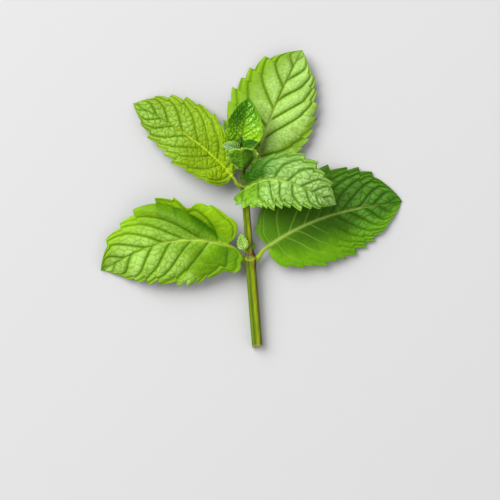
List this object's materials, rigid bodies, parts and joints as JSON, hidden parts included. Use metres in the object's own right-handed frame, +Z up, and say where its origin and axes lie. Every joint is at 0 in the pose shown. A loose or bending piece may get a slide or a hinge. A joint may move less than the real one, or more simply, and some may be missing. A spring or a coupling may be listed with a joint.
{
  "type": "cut mint sprig",
  "caption": "Cut tip of a mint plant lying flat: square stem, opposite toothed and quilted leaves, and a young shoot round its tip bud.",
  "frame": {"origin": "middle of the bounding box in X and Y, on the surface that the sprig lies on", "axes": "+Z up out of that surface, +Y from the cut end towards the tip of the stem, +X to the right as seen from above"},
  "size_m": [0.0998, 0.0992, 0.02],
  "materials": {
    "stem": "smooth, faintly furrowed green skin, darker along its grooves",
    "leaf_lower_left": "quilted fresh green, with a soft grey-green sheen towards the tip",
    "leaf_lower_right": "quilted deep green, with a pale midrib",
    "leaf_upper_left": "quilted yellow-green, with a bright midrib",
    "leaf_upper_right": "quilted pale green, with dark impressed side veins",
    "leaf_front_right": "quilted light grey-green with a downy sheen",
    "young_leaf": "crumpled young leaf, deep green with bright raised pillows",
    "bud": "tight downy bud, dark green"
  },
  "bodies": {
    "root": {"stem": "stem", "leaf_lower_left": "leaf_lower_left", "leaf_lower_right": "leaf_lower_right", "leaf_upper_left": "leaf_upper_left", "leaf_upper_right": "leaf_upper_right", "leaf_front_right": "leaf_front_right", "shoot_leaf_back": "young_leaf", "shoot_leaf_front": "young_leaf", "shoot_leaf_left": "young_leaf", "shoot_leaf_right": "young_leaf", "axil_leaflet_lower_left": "young_leaf", "tip_bud": "bud", "axil_bud_lower_right": "bud", "axil_bud_upper_left": "bud"}
  },
  "joints": []
}
